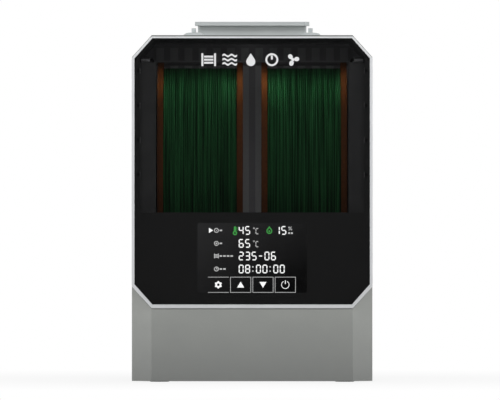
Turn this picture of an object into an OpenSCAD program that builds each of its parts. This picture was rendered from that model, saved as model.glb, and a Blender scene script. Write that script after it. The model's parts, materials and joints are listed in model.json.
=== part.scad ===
// Two-spool filament dryer box: a heated cabinet with a smoked octagonal front, a hinged top lid,
// and two filament spools that turn on rollers above a fan and heater.
// Front is -Y, right is +X, up is +Z. The origin is on the table, under the middle of the box.

/* [Body] */
// Width of the box
body_w = 213; // [209:1:225]
// Depth from the front trim to the back of the hinge knuckles
body_d = 289; // [284:1:310]
// Height of the closed lid above the table
body_h = 307; // [304:1:320]
// Width of the corner cuts seen from the front
cut_w = 17.5; // [12:0.5:18]
// Height of the corner cuts seen from the front
cut_h = 19.4; // [14:0.2:20]
// Thickness of the outer shell
shell_t = 2.6; // [2:0.1:3]
// Height of the shell's lower edge above the table
shell_z = 0.8; // [0.6:0.1:2]

/* [Front] */
// Height of the bottom of the octagonal trim
trim_z = 65.4; // [60:0.2:70]
// How deep the octagonal trim is
trim_d = 19; // [17:1:21]
// Height where the clear window ends and the black print begins
window_z = 150; // [146:0.5:154]
// Width of the display
display_w = 96.8; // [80:0.2:100]
// Height of the display
display_h = 61.8; // [50:0.2:62]
// Height of the middle of the display
display_z = 109.8; // [109:0.2:111]

/* [Lid] */
// Length of the handle's cap
handle_w = 101.8; // [80:0.2:110]
// Depth of the handle's cap
handle_d = 26; // [20:1:30]
// Height of the handle above the lid
handle_h = 12.6; // [9:0.2:14]
// Distance from the middle to each filament outlet
outlet_x = 51.8; // [45:0.2:60]

/* [Spools] */
// Radius of a spool's flanges
spool_r = 100; // [95:1:100]
// Width of a spool over its flanges
spool_w = 76.2; // [60:0.2:76.2]
// Thickness of a flange
flange_t = 5.3; // [3:0.1:6]
// Radius of the wound filament
wound_r = 95; // [60:0.2:95]
// Radius of the hole through a spool
spool_bore_r = 26.5; // [25:0.5:28]
// Distance from the middle of the box to the middle of each spool
spool_x = 46.4; // [46.4:0.1:47]

/* [Hidden] */
$fn = 48;

half_w = body_w / 2;
front_y = -body_d / 2;
back_y = body_d / 2;

// Shell and trim
chin_y = front_y + 1.2;             // face of the shell under the trim, a little behind the trim's face
trim_back_y = front_y + trim_d;     // back edge of the trim, where the shell and lid begin
trim_top_z = body_h - 1.4;          // the lid stands just proud of the trim
trim_cut_h = cut_h - 0.2;
trim_side = 2.35;                  // width of the trim's band at the sides
trim_foot = 3.15;                  // at the bottom
trim_head = 1.5;                    // at the top
fit = 0.2;                          // gap between pieces that only lie beside each other

// Hinge, at the back of the lid
knuckle_r = 4;
hinge_y = back_y - knuckle_r;
hinge_z = 284;
hinge_x = 60;
hinge_pin_r = 1.5;
knuckle_w = 6;                      // each of the two ears on the rear panel
lug_w = 13.4;                       // the lid's knuckle between them
rear_y = hinge_y - knuckle_r - 0.5; // outer face of the rear panel and of the lid's back
rear_t = 2.8;
lid_z = 285.5;                      // lower edge of the lid
lid_t = 2.4;
lid_front_y = trim_back_y + 1.5;
liner_t = 1.6;

// Chamber
floor_z = 78;
floor_t = 2;
chamber_top_z = 283;
side_x = 88.5;                      // inner face of the chamber's sides
panel_t = 2;
chamber_front_y = -110;
chamber_rear_y = 128;
rib_pitch = 12.85;
rib_w = 7.1;
rib_t = 1.2;
ribs_a_side = 7;
inner_x = half_w - shell_t;         // inside of the shell's sides

// Spools and rollers
spool_y = 9.5;
spool_z = 184.5;
roller_r = 8;
roller_spread = 54;                 // from the spool's middle to each roller, along Y
roller_gap = 0.3;                   // running gap between flange and roller
roller_z = spool_z - sqrt(pow(spool_r + roller_r + roller_gap, 2) - pow(roller_spread, 2));
roller_x0 = 5.8;
roller_x1 = 84.8;
axle_r = 1.5;
bearing_r = 3.5;
bearing_w = 3;
bracket_x0 = 85.1;
bracket_x1 = 88.5;
centre_bracket_w = 11;
hub_r = 52;                         // outside of the card tube that the filament is wound on
hub_t = 3;

// Air system, under the floor
fan_size = 80;
fan_z = 36;
fan_t = 15;
fan_bore_r = 38.5;
fan_hole = 71.5;
fan_shaft_r = 1.5;
heater_z0 = 53.5;
heater_z1 = 73.5;
duct_half = 43;
duct_inner = duct_half - 1.6;
plenum_half = 48;
plenum_z = 20;
plenum_y0 = -104;
plenum_y1 = 124;

// Base
cover_z = shell_z + 1.4;            // the bottom cover lies a little inside the shell's lower edge
cover_t = 2.4;
base_boss = [for (sx = [-1, 1], y = [-112, 8, 118]) [sx * 97, y]];
rear_boss = [for (sx = [-1, 1], z = [62, 165, 268]) [sx * 99, z]];
foot_at = [for (sx = [-1, 1], y = [-115, 110]) [sx * 82, y]];
foot_r = 9;
board_z = 12;
board_t = 1.6;
board_hole_y = [-45, 64];

// Inlet and switch, on the rear panel
inlet_at = [-84, 34];
switch_at = [-57, 34];

// Lid fittings
outlet_y = -92;
handle_y = -66;
handle_screw_x = 34;

// Colours
shell_grey = [0.50, 0.51, 0.49];
trim_silver = [0.80, 0.81, 0.81];
black = [0.10, 0.10, 0.11];
dark = [0.16, 0.16, 0.17];
smoke = [0.12, 0.12, 0.13, 0.5];
card_brown = [0.42, 0.24, 0.12];
filament_green = [0.10, 0.38, 0.18];
steel = [0.72, 0.73, 0.75];
board_green = [0.06, 0.30, 0.16];
white = [0.92, 0.92, 0.90];

// A rectangle with cut corners, counter-clockwise, from -half to half and z0 to z1.
function cut_box(half, z0, z1, w, h) = [
    [-half + w, z0], [half - w, z0], [half, z0 + h], [half, z1 - h],
    [half - w, z1], [-half + w, z1], [-half, z1 - h], [-half, z0 + h]
];

// Where the line through p along d meets the line through q along e.
function meet(p, d, q, e) = p + d * cross(q - p, e) / cross(d, e);

// A convex counter-clockwise outline moved inwards by t all round.
function inset(pts, t) = let (n = len(pts)) [
    for (i = [0 : n - 1])
        let (a = pts[(i + n - 1) % n], b = pts[i], c = pts[(i + 1) % n], d = b - a, e = c - b)
        meet(a + [-d.y, d.x] / norm(d) * t, d, c + [-e.y, e.x] / norm(e) * t, e)
];

trim_outer = cut_box(half_w, trim_z, trim_top_z, cut_w, trim_cut_h);
trim_inner = cut_box(half_w - trim_side, trim_z + trim_foot, trim_top_z - trim_head,
    cut_w - 1.6, trim_cut_h - 1.3);

// Plan of the base back to end_y: its front corners are cut back at 45 degrees under the trim.
function base_plan(end_y) = [
    [-half_w + cut_w, chin_y], [half_w - cut_w, chin_y], [half_w, chin_y + cut_w],
    [half_w, end_y], [-half_w, end_y], [-half_w, chin_y + cut_w]
];

// Section of the lid, left open below its lower edge so that an inset keeps it open.
function lid_section(bottom_z) = [
    [-half_w, bottom_z], [half_w, bottom_z], [half_w, body_h - cut_h],
    [half_w - cut_w, body_h], [-half_w + cut_w, body_h], [-half_w, body_h - cut_h]
];

// Extrudes a drawing of (x, z) from y0 to y1.
module along_y(y0, y1) {
    translate([0, y1, 0]) rotate([90, 0, 0]) linear_extrude(y1 - y0) children();
}

// Extrudes a drawing of (y, z) from x0 to x1.
module along_x(x0, x1) {
    translate([x0, 0, 0]) rotate([90, 0, 90]) linear_extrude(x1 - x0) children();
}

// A box given by its lowest and highest corners.
module span(lo, hi) {
    translate(lo) cube(hi - lo);
}

module both_sides() {
    children();
    mirror([1, 0, 0]) children();
}

// A ring or disc on the Z axis.
module ring(outer, inner, z0, z1) {
    difference() {
        translate([0, 0, z0]) cylinder(r = outer, h = z1 - z0);
        translate([0, 0, z0 - 1]) cylinder(r = inner, h = z1 - z0 + 2);
    }
}

// A pan-head screw with its head's underside at the origin, pointing down.
module screw(r, length, head_r, head_h) {
    translate([0, 0, -length]) cylinder(r = r, h = length);
    difference() {
        cylinder(r = head_r, h = head_h);
        translate([-head_r * 0.6, -0.4, head_h * 0.45]) cube([head_r * 1.2, 0.8, head_h]);
        translate([-0.4, -head_r * 0.6, head_h * 0.45]) cube([0.8, head_r * 1.2, head_h]);
    }
}

// A box with rounded vertical corners, centred on the origin in plan.
module round_plate(w, d, h, r) {
    linear_extrude(h) {
        square([w - 2 * r, d], center = true);
        square([w, d - 2 * r], center = true);
        for (x = [-1, 1], y = [-1, 1]) translate([x * (w / 2 - r), y * (d / 2 - r)]) circle(r);
    }
}

// A round tube swept along points, as one closed mesh with eight sides.
sweep_sides = 8;

function heading(path, i) = let (
        a = path[max(i - 1, 0)],
        b = path[min(i + 1, len(path) - 1)]
    ) (b - a) / norm(b - a);

function sweep_ring(p, t, r) = let (
        up = abs(t.z) > 0.9 ? [1, 0, 0] : [0, 0, 1],
        u = cross(t, up) / norm(cross(t, up)),
        v = cross(u, t)
    ) [for (k = [0 : sweep_sides - 1])
        let (a = 360 * k / sweep_sides) p + r * (u * cos(a) + v * sin(a))];

module sweep(path, r) {
    last = len(path) - 1;
    points = [for (i = [0 : last]) each sweep_ring(path[i], heading(path, i), r)];
    sides = [
        for (i = [0 : last - 1], k = [0 : sweep_sides - 1])
            let (a = i * sweep_sides, m = (k + 1) % sweep_sides)
            [a + k, a + m, a + sweep_sides + m, a + sweep_sides + k]
    ];
    ends = [
        [for (k = [sweep_sides - 1 : -1 : 0]) k],
        [for (k = [0 : sweep_sides - 1]) last * sweep_sides + k]
    ];
    polyhedron(points, concat(sides, ends));
}

// Vertical boss against the inside of a side wall, for a screw from below.
module base_boss_at(p) {
    wall = sign(p.x) * inner_x;
    translate([p.x, p.y, cover_z + cover_t]) cylinder(r = 4.2, h = 14);
    span([min(p.x, wall), p.y - 2, cover_z + cover_t],
        [max(p.x, wall), p.y + 2, cover_z + cover_t + 14]);
}

// Lengthwise boss against a side wall, for a screw through the rear panel.
module rear_boss_at(p) {
    wall = sign(p.x) * inner_x;
    end_y = rear_y - rear_t;
    along_y(end_y - 14, end_y) translate(p) circle(4);
    span([min(p.x, wall), end_y - 14, p.y - 1.5], [max(p.x, wall), end_y, p.y + 1.5]);
}

module main_housing() {
    flange_x = half_w - 6.5;
    color(shell_grey) {
        difference() {
            union() {
                translate([0, 0, shell_z]) linear_extrude(trim_z + trim_cut_h - shell_z)
                    polygon(base_plan(rear_y - rear_t));
                span([-half_w, trim_back_y + fit, trim_z], [half_w, rear_y - rear_t, lid_z - 0.5]);
            }
            // Inside of the base, up to the shelf that the trim stands on.
            translate([0, 0, -1]) linear_extrude(trim_z - fit - shell_t + 1)
                polygon(inset(base_plan(rear_y), shell_t));
            span([-inner_x, trim_back_y + fit + shell_t, -1], [inner_x, rear_y, body_h]);
            span([-flange_x, trim_back_y - 1, trim_z], [flange_x, trim_back_y + 4, body_h]);
            // Seat of the trim.
            along_y(front_y - 1, trim_back_y + fit) polygon(inset(trim_outer, -fit));
        }
        // Rails that carry the chamber floor.
        both_sides() span([inner_x - 4, -96, floor_z - floor_t - 2], [inner_x, 118, floor_z - floor_t]);
        difference() {
            for (p = base_boss) base_boss_at(p);
            for (p = base_boss) translate([p.x, p.y, 0]) cylinder(r = 1.4, h = cover_z + 14);
        }
        difference() {
            for (p = rear_boss) rear_boss_at(p);
            for (p = rear_boss) along_y(rear_y - rear_t - 12, rear_y) translate(p) circle(1.4);
        }
    }
}

// Profile of a hinge ear in (y, z): a round eye on a gusset that runs down the rear panel.
module ear_profile() {
    translate([hinge_y, hinge_z]) circle(knuckle_r);
    polygon([
        [rear_y - 0.5, hinge_z - 22], [hinge_y + knuckle_r, hinge_z - 6], [hinge_y + knuckle_r, hinge_z],
        [hinge_y, hinge_z + 0.5], [rear_y - 0.5, hinge_z + 0.5]
    ]);
}

// Profile of the lid's knuckle in (y, z): an arm from the lid's back down to the pin.
module lug_profile() {
    translate([hinge_y, hinge_z]) circle(knuckle_r);
    polygon([
        [rear_y - 0.5, body_h - 5], [rear_y + 2, body_h - 5], [hinge_y + knuckle_r, hinge_z + 8],
        [hinge_y + knuckle_r, hinge_z], [rear_y + 0.6, hinge_z + 1], [rear_y + 0.6, lid_z + 3],
        [rear_y - 0.5, lid_z + 3]
    ]);
}

module rear_panel() {
    ear_gap = lug_w / 2 + 0.3;
    color(shell_grey) difference() {
        union() {
            span([-half_w, rear_y - rear_t, shell_z], [half_w, rear_y, lid_z - 0.5]);
            for (x = [-hinge_x, hinge_x], s = [-1, 1])
                translate([x + s * (ear_gap + knuckle_w / 2), 0, 0])
                    along_x(-knuckle_w / 2, knuckle_w / 2) ear_profile();
        }
        for (x = [-hinge_x, hinge_x])
            along_x(x - 20, x + 20) translate([hinge_y, hinge_z]) circle(hinge_pin_r);
        for (p = rear_boss) along_y(rear_y - 4, rear_y + 1) translate(p) circle(1.6);
        // Cooling slots for the electronics bay.
        for (i = [0 : 11])
            translate([18 + i * 6, 0, 0]) span([-1.4, rear_y - 5, 20], [1.4, rear_y + 1, 46]);
        translate([inlet_at.x, 0, inlet_at.y]) span([-13.8, rear_y - 5, -10.1], [13.8, rear_y + 1, 10.1]);
        translate([switch_at.x, 0, switch_at.y]) span([-6.5, rear_y - 5, -9.7], [6.5, rear_y + 1, 9.7]);
    }
}

module bottom_cover() {
    color(black) {
        difference() {
            translate([0, 0, cover_z]) linear_extrude(cover_t)
                polygon(inset(base_plan(rear_y - rear_t + shell_t), shell_t + fit));
            for (p = base_boss) translate([p.x, p.y, 0]) {
                cylinder(r = 1.6, h = 10);
                cylinder(r = 3.3, h = cover_z + 1.8);
            }
            // Two banks of intake slots.
            for (s = [-1, 1], i = [0 : 10])
                translate([s * 70, -50 + i * 10, 0]) span([-16, -1.5, 0], [16, 1.5, 10]);
        }
        for (s = [-1, 1], x = [58, 86], y = board_hole_y)
            translate([s * x, y, 0]) ring(2.6, 1.1, cover_z + cover_t, board_z);
    }
}

module rubber_feet() {
    color(dark) for (p = foot_at) translate([p.x, p.y, 0]) {
        cylinder(r1 = foot_r - 0.6, r2 = foot_r, h = 0.6);
        translate([0, 0, 0.6]) cylinder(r = foot_r, h = cover_z - 0.6);
    }
}

module case_screws() {
    color(steel) {
        for (p = base_boss)
            translate([p.x, p.y, cover_z + 1.8]) rotate([180, 0, 0]) screw(1.4, 11, 3, 1.5);
        for (p = rear_boss)
            translate([p.x, rear_y, p.y]) rotate([-90, 0, 0]) screw(1.4, 13, 3, 1.6);
    }
}

ledge_y = front_y + 4.1;
panel_screw_at = [for (s = [-1, 1], i = [0 : 3]) [s * (half_w - 5.8), 183.4 + i * 30.6]];
panel_screw_r = 1.5;

// Octagonal ring with a lip that the front panel is bonded to, and small tabs for the panel screws.
module front_frame() {
    color(trim_silver) {
        difference() {
            along_y(front_y, trim_back_y) polygon(trim_outer);
            along_y(front_y - 1, ledge_y) polygon(trim_inner);
            along_y(ledge_y - 1, trim_back_y + 1) polygon(inset(trim_inner, 1.6));
            along_y(ledge_y + 2.4, trim_back_y + 1) polygon(trim_inner);
        }
        difference() {
            for (p = panel_screw_at) along_y(ledge_y + 1.3, ledge_y + 6.5)
                translate([sign(p.x) * (half_w - 4.9), p.y]) square([5, 5], center = true);
            for (p = panel_screw_at) along_y(ledge_y, ledge_y + 6.1) translate(p) circle(0.8);
        }
    }
}

panel_y = front_y + 0.8;
panel_sheet_t = 3;

module front_panel() {
    color(smoke) along_y(panel_y, panel_y + panel_sheet_t) polygon(inset(trim_inner, 0.15));
}

// Black print on the back of the front panel: the lower field, a border, and openings at the screws' heads.
module panel_mask() {
    print_y = panel_y + panel_sheet_t;
    border = 5;
    border_top = 1.7;
    corner_cut = 1.2;
    z_high = display_z + display_h / 2;
    z_low = display_z - display_h / 2;
    color(black) along_y(print_y, print_y + 0.3) difference() {
        polygon(inset(trim_inner, 0.15));
        difference() {
            for (up = [0, border - border_top]) translate([0, up]) polygon(inset(trim_inner, border));
            translate([-half_w, 0]) square([body_w, window_z]);
        }
        for (p = panel_screw_at) translate(p) circle(panel_screw_r - 0.1);
        polygon(cut_box(display_w / 2, z_low, z_high, corner_cut, corner_cut));
    }
}

// Small black screws down both sides of the window, behind the sheet.
module panel_screws() {
    color(black) for (p = panel_screw_at) translate([p.x, ledge_y + 1.3, p.y]) rotate([90, 0, 0]) {
        cylinder(r = panel_screw_r, h = 1.2);
        translate([0, 0, -4.6]) cylinder(r = 0.8, h = 4.6);
    }
}

lcd_y = panel_y + panel_sheet_t + 0.3;

module lcd_glass() {
    color(dark) span([-display_w / 2 - 3, lcd_y, display_z - display_h / 2 - 3],
        [display_w / 2 + 3, lcd_y + 1.6, display_z + display_h / 2 + 3]);
}

module lcd_backlight() {
    y0 = lcd_y + 1.6;
    color(white) {
        span([-display_w / 2 - 4, y0, display_z - display_h / 2 - 4],
            [display_w / 2 + 4, y0 + 4.4, display_z + display_h / 2 + 4]);
        for (x = [-1, 1], z = [-1, 1])
            translate([x * 46, y0 + 4.4, display_z + z * 29]) rotate([-90, 0, 0]) cylinder(r = 2.2, h = 3);
    }
}

module display_board() {
    y0 = lcd_y + 9;
    color(board_green) span([-74, y0, 74], [74, y0 + board_t, 146.5]);
    color(black) {
        span([-9, y0 + board_t, 100], [9, y0 + board_t + 1.4, 118]);
        span([-30, y0 + board_t, 104], [-20, y0 + board_t + 1.2, 114]);
    }
    color(white) span([61.5, y0 + board_t, 88], [70.5, y0 + board_t + 5, 96]);
}

module chamber_floor() {
    color(black) difference() {
        span([-inner_x + fit, chamber_front_y + fit, floor_z - floor_t],
            [inner_x - fit, chamber_rear_y - fit, floor_z]);
        // Hot air outlet over the heater.
        for (i = [-5 : 5]) translate([0, spool_y + i * 6.4, 0]) span([-34, -1.9, 60], [34, 1.9, 90]);
        // Return slots at the front and back.
        for (s = [-1, 1], y = [-66, -60, 110, 116], i = [0 : 2])
            translate([s * (8 + i * 13), y, 0]) span([-4.5, -2, 60], [4.5, 2, 90]);
    }
}

module chamber_rear_panel() {
    color(dark) {
        span([-side_x - 4, chamber_rear_y, floor_z - 8],
            [side_x + 4, chamber_rear_y + panel_t, chamber_top_z]);
        for (s = [-1, 1], i = [0 : ribs_a_side - 1])
            translate([s * (i + 0.5) * rib_pitch, 0, 0])
                span([-rib_w / 2, chamber_rear_y - rib_t, floor_z + 0.5],
                    [rib_w / 2, chamber_rear_y, chamber_top_z]);
    }
}

// The right side of the chamber: a wall, a flange behind the window and a ledge under the lid's seal.
module chamber_side() {
    flange_y = trim_back_y + shell_t + 0.6;
    wall_end = chamber_rear_y - rib_t - 0.1;
    lip = 3.2;                      // the flange reaches this far in front of the spool's edge
    color(black) {
        along_x(side_x, side_x + panel_t) polygon([
            [chamber_front_y, floor_z], [wall_end, floor_z], [wall_end, chamber_top_z],
            [flange_y, chamber_top_z], [flange_y, window_z], [chamber_front_y, window_z]
        ]);
        span([side_x - lip, flange_y, window_z], [inner_x - fit, flange_y + panel_t, chamber_top_z]);
        span([side_x, flange_y, chamber_top_z - panel_t], [inner_x - fit, wall_end, chamber_top_z]);
    }
}

module chamber_side_right() {
    chamber_side();
}

module chamber_side_left() {
    mirror([1, 0, 0]) chamber_side();
}

module chamber_front_wall() {
    color(black) {
        span([-inner_x + fit, chamber_front_y - panel_t, trim_z + 4],
            [inner_x - fit, chamber_front_y, window_z - 0.5]);
        span([-99, lcd_y + 2.6, window_z - 2.5], [99, chamber_front_y - panel_t, window_z - 0.5]);
    }
}

// Outline in (y, z) of a roller bracket: a rail with two round-topped posts.
module bracket_outline() {
    translate([spool_y - roller_spread - 9, floor_z]) square([2 * roller_spread + 18, 4]);
    for (s = [-1, 1]) translate([spool_y + s * roller_spread, 0]) {
        translate([-5.5, floor_z]) square([11, roller_z - floor_z]);
        translate([0, roller_z]) circle(5.5);
    }
}

module bearing_seats(x0, x1, r) {
    for (s = [-1, 1]) along_x(x0, x1) translate([spool_y + s * roller_spread, roller_z]) circle(r);
}

module side_roller_brackets() {
    color(dark) both_sides() difference() {
        along_x(bracket_x0, bracket_x1) bracket_outline();
        bearing_seats(bracket_x0 - 1, bracket_x0 + bearing_w, bearing_r);
    }
}

module centre_roller_bracket() {
    color(dark) difference() {
        along_x(-centre_bracket_w / 2, centre_bracket_w / 2) bracket_outline();
        for (s = [-1, 1])
            bearing_seats(min(s * 2.5, s * 10), max(s * 2.5, s * 10), bearing_r);
    }
}

// Eight ball bearings, two on each roller: outer race, shield and inner race.
module roller_bearings() {
    bore = axle_r + 0.05;
    color(steel) for (s = [-1, 1], y = [-1, 1], x = [2.5, bracket_x0])
        translate([s * x, spool_y + y * roller_spread, roller_z]) rotate([0, s * 90, 0]) {
            ring(bearing_r, bearing_r - 0.6, 0, bearing_w);
            ring(bore + 0.55, bore, 0, bearing_w);
            ring(bearing_r - 0.6, bore + 0.55, 0.3, bearing_w - 0.3);
        }
}

// A roller's rubber-faced sleeve, with a raised band near each end. s picks the side, t the front or rear.
module roller_sleeve(s, t) {
    length = roller_x1 - roller_x0;
    color(dark) translate([s * roller_x0, spool_y + t * roller_spread, roller_z]) rotate([0, s * 90, 0])
        rotate_extrude($fn = 64) polygon([
            [axle_r, 0], [roller_r - 0.6, 0], [roller_r, 0.6], [roller_r, 9], [roller_r - 0.8, 9.6],
            [roller_r - 0.8, length - 9.6], [roller_r, length - 9], [roller_r, length - 0.6],
            [roller_r - 0.6, length], [axle_r, length]
        ]);
}

module roller_axle(s, t) {
    x0 = 2.6;
    color(steel) translate([s * x0, spool_y + t * roller_spread, roller_z]) rotate([0, s * 90, 0])
        cylinder(r = axle_r, h = bracket_x0 + bearing_w - 0.1 - x0);
}

// Card spool on its side: two flanges on a tube, s = -1 on the left.
module spool_core(s) {
    x0 = s * spool_x - spool_w / 2;
    color(card_brown) translate([x0, spool_y, spool_z]) rotate([0, 90, 0]) difference() {
        union() {
            cylinder(r = spool_r, h = flange_t, $fn = 128);
            translate([0, 0, spool_w - flange_t]) cylinder(r = spool_r, h = flange_t, $fn = 128);
            cylinder(r = hub_r, h = spool_w, $fn = 96);
        }
        translate([0, 0, -1]) cylinder(r = spool_bore_r, h = spool_w + 2, $fn = 72);
        translate([0, 0, flange_t]) cylinder(r = hub_r - hub_t, h = spool_w - 2 * flange_t, $fn = 96);
        // Holes near the rim that hold the loose end.
        for (a = [30 : 60 : 330])
            rotate([0, 0, a]) translate([spool_r - 4, 0, -1]) cylinder(r = 1.5, h = spool_w + 2);
    }
}

module spool_filament(s) {
    color(filament_green)
        translate([s * spool_x - spool_w / 2 + flange_t, spool_y, spool_z]) rotate([0, 90, 0])
            ring(wound_r, hub_r, 0, spool_w - 2 * flange_t, $fn = 128);
}

module fan_frame() {
    color(black) translate([0, spool_y, fan_z]) {
        difference() {
            round_plate(fan_size, fan_size, fan_t, 4);
            translate([0, 0, -1]) cylinder(r = fan_bore_r, h = fan_t + 2, $fn = 96);
            for (x = [-1, 1], y = [-1, 1])
                translate([x * fan_hole / 2, y * fan_hole / 2, -1]) cylinder(r = 2.15, h = fan_t + 2);
        }
        // Motor plate on three struts, on the intake side, with the bearing tube for the wheel's shaft.
        cylinder(r = 15.5, h = 1.6);
        ring(4.5, fan_shaft_r + 0.05, 1.5, 9.5);
        for (a = [90, 210, 330]) rotate([0, 0, a]) translate([14, -2, 0]) cube([fan_bore_r - 13, 4, 1.6]);
    }
}

module fan_impeller() {
    color(dark) translate([0, spool_y, fan_z + 2.4]) {
        difference() {
            cylinder(r = 16, h = 11.6);
            translate([0, 0, -1]) cylinder(r = 14, h = 10.6);
        }
        translate([0, 0, -0.6]) cylinder(r = fan_shaft_r, h = 12);
        intersection() {
            ring(37.4, 15.5, 0.6, 11);
            for (a = [0 : 360 / 7 : 359]) rotate([0, 0, a])
                translate([26, 0, 5.8]) rotate([36, 0, 0]) cube([24, 18, 1.3], center = true);
        }
    }
}

module fan_screws() {
    color(steel) for (x = [-1, 1], y = [-1, 1])
        translate([x * fan_hole / 2, spool_y + y * fan_hole / 2, fan_z]) rotate([180, 0, 0])
            screw(2, fan_t + 3, 3.6, 2);
}

// Three heated bars with banks of thin fins between them.
module ptc_heater() {
    color(steel) translate([0, spool_y, heater_z0]) {
        for (y = [-24, 0, 24]) span([-36, y - 2.5, 0], [36, y + 2.5, heater_z1 - heater_z0]);
        for (i = [-14 : 14]) span([i * 2.4 - 0.3, -24, 1], [i * 2.4 + 0.3, 24, heater_z1 - heater_z0 - 1]);
        for (s = [-1, 1])
            span([min(s * 34, s * 37), -27, 0], [max(s * 34, s * 37), 27, heater_z1 - heater_z0]);
        for (s = [-1, 1], y = [-18, 18])
            span([min(s * 36, s * duct_inner), y - 4, 4], [max(s * 36, s * duct_inner), y + 4, 16]);
    }
}

// Square duct that carries the fan and leads its air through the heater to the floor's outlet.
module heater_duct() {
    color(black) translate([0, spool_y, 0]) difference() {
        span([-duct_half, -duct_half, fan_z + fan_t], [duct_half, duct_half, floor_z - floor_t]);
        span([-duct_inner, -duct_inner, fan_z + fan_t + 1.8], [duct_inner, duct_inner, floor_z]);
        translate([0, 0, fan_z]) cylinder(r = fan_bore_r, h = 30);
        for (x = [-1, 1], y = [-1, 1])
            translate([x * fan_hole / 2, y * fan_hole / 2, fan_z]) cylinder(r = 2, h = 30);
    }
}

// Tray under the floor that brings the return air to the fan's underside.
module air_plenum() {
    wall = 1.8;
    lo = [-plenum_half, plenum_y0, plenum_z];
    hi = [plenum_half, plenum_y1, floor_z - floor_t];
    color(black) difference() {
        span(lo, hi);
        span(lo + [wall, wall, wall], hi + [-wall, -wall, floor_t]);
    }
}

module board(x0, x1, y0, y1) {
    difference() {
        span([x0, y0, board_z], [x1, y1, board_z + board_t]);
        for (x = [x0 + 3, x1 - 3], y = board_hole_y) translate([x, y, 0]) cylinder(r = 1.3, h = 40);
    }
}

module power_supply_board() {
    color(board_green) board(-89, -55, -50, 92);
}

module main_board() {
    color(board_green) board(55, 89, -50, 70);
}

board_top = board_z + board_t;

module power_supply_parts() {
    color([0.85, 0.75, 0.2]) span([-84, 2, board_top], [-60, 28, board_top + 22]);
    color(black) for (p = [[-80, 44], [-66, 44]]) translate([p.x, p.y, board_top]) cylinder(r = 6, h = 26);
    color(steel) span([-86, -30, board_top], [-83, -4, board_top + 24]);
    color(black) span([-83, -24, board_top], [-78, -10, board_top + 14]);
    color(white) span([-84, 76, board_top], [-62, 86, board_top + 9]);
}

module main_board_parts() {
    color([0.1, 0.3, 0.7]) span([60, 20, board_top], [75, 39, board_top + 16]);
    color(black) span([64, -14, board_top], [78, 0, board_top + 1.8]);
    color(white) for (y = [-30, 50]) span([76, y, board_top], [84, y + 8, board_top + 7]);
    color(white) span([61.5, -50, board_top], [70.5, -44, board_top + 6]);
    color(black) translate([62, 54, board_top]) cylinder(r = 4, h = 10);
}

// The three contacts of the mains inlet, from its middle.
contact_at = [[0, 2.2], [-7, -2.2], [7, -2.2]];

// Mains inlet socket, clipped into the rear panel.
module ac_inlet() {
    color(black) translate([inlet_at.x, rear_y, inlet_at.y]) difference() {
        union() {
            span([-13.6, -24, -9.9], [13.6, 0, 9.9]);
            span([-16, 0, -12.4], [16, 2, 12.4]);
        }
        along_y(-19, 3) polygon([
            [-12.3, -8.3], [12.3, -8.3], [12.3, 4.8], [8.8, 8.3], [-8.8, 8.3], [-12.3, 4.8]
        ]);
        // Slots for the three contacts.
        for (p = contact_at) translate([p.x, 0, p.y]) span([-1, -30, -2], [1, -10, 2]);
    }
}

module ac_inlet_pins() {
    color(steel) translate([inlet_at.x, rear_y, inlet_at.y])
        for (p = contact_at) translate([p.x, 0, p.y]) span([-1, -31, -2], [1, -2, 2]);
}

module switch_housing() {
    color(black) translate([switch_at.x, rear_y, switch_at.y]) difference() {
        union() {
            span([-6.3, -16, -9.5], [6.3, 0, 9.5]);
            span([-7.6, 0, -10.8], [7.6, 2, 10.8]);
        }
        span([-5, -9, -8.7], [5, 3, 8.7]);
        along_x(-5.8, 5.8) translate([-1, 0]) circle(1.05);
    }
}

// Rocker, stored with its upper end pressed in. It turns about a small axle along X.
rocker_tilt = 10;

module switch_rocker() {
    color(dark) translate([switch_at.x, rear_y - 1, switch_at.y]) rotate([rocker_tilt, 0, 0]) {
        along_x(-4.7, 4.7) polygon([[-3, -5], [3.6, -7.6], [2.2, 0], [3.6, 7.6], [-3, 5], [-4.4, 0]]);
        along_x(-5.7, 5.7) circle(0.95);
    }
}

// Leads from the inlet to the power supply, from the inlet to the switch, and on to the power supply.
mains_routes = [
    [
        [-91, 105, 31.8], [-91, 101, 31.8], [-90, 98, 28], [-87, 95.5, 23], [-82, 93.5, 19.6],
        [-79, 90, 18.6], [-79, 86, 18.6]
    ],
    [
        [-77, 105, 31.8], [-77, 102, 31.8], [-75, 99.5, 32.5], [-70, 98, 33.4], [-63, 99.5, 34],
        [-58.5, 104, 34], [-57, 110, 34], [-57, 120, 34]
    ],
    [
        [-57, 120, 28], [-57, 114, 28], [-58.5, 107, 26], [-62, 100, 22.4], [-66, 94, 19.4], [-68, 90, 18.6],
        [-68, 86, 18.6]
    ]
];

module mains_wires() {
    color([0.35, 0.2, 0.1]) for (route = mains_routes) sweep(route, 1.2);
}

// Flat cable from the display board's plug down to the main board's, as a strip in (y, z).
ribbon_path = [
    [-126.5, 88], [-126.3, 84], [-124, 78], [-119.5, 71], [-117.5, 62], [-116, 44], [-112, 30], [-102, 21],
    [-84, 17.5], [-60, 17], [-50, 17]
];

module display_ribbon() {
    t = 0.6;
    last = len(ribbon_path) - 1;
    normals = [
        for (i = [0 : last])
            let (d = ribbon_path[min(i + 1, last)] - ribbon_path[max(i - 1, 0)]) [-d.y, d.x] / norm(d)
    ];
    color(white) along_x(62.5, 69.5) polygon(concat(
        [for (i = [0 : last]) ribbon_path[i] + normals[i] * t / 2],
        [for (i = [last : -1 : 0]) ribbon_path[i] - normals[i] * t / 2]
    ));
}

sensor_z = 126;

module humidity_sensor() {
    y1 = chamber_rear_y - rib_t;
    color(board_green) span([-8, y1 - 1.2, sensor_z - 7], [8, y1, sensor_z + 7]);
    color(white) span([-2, y1 - 2.6, sensor_z - 2], [2, y1 - 1.2, sensor_z + 2]);
}

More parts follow.
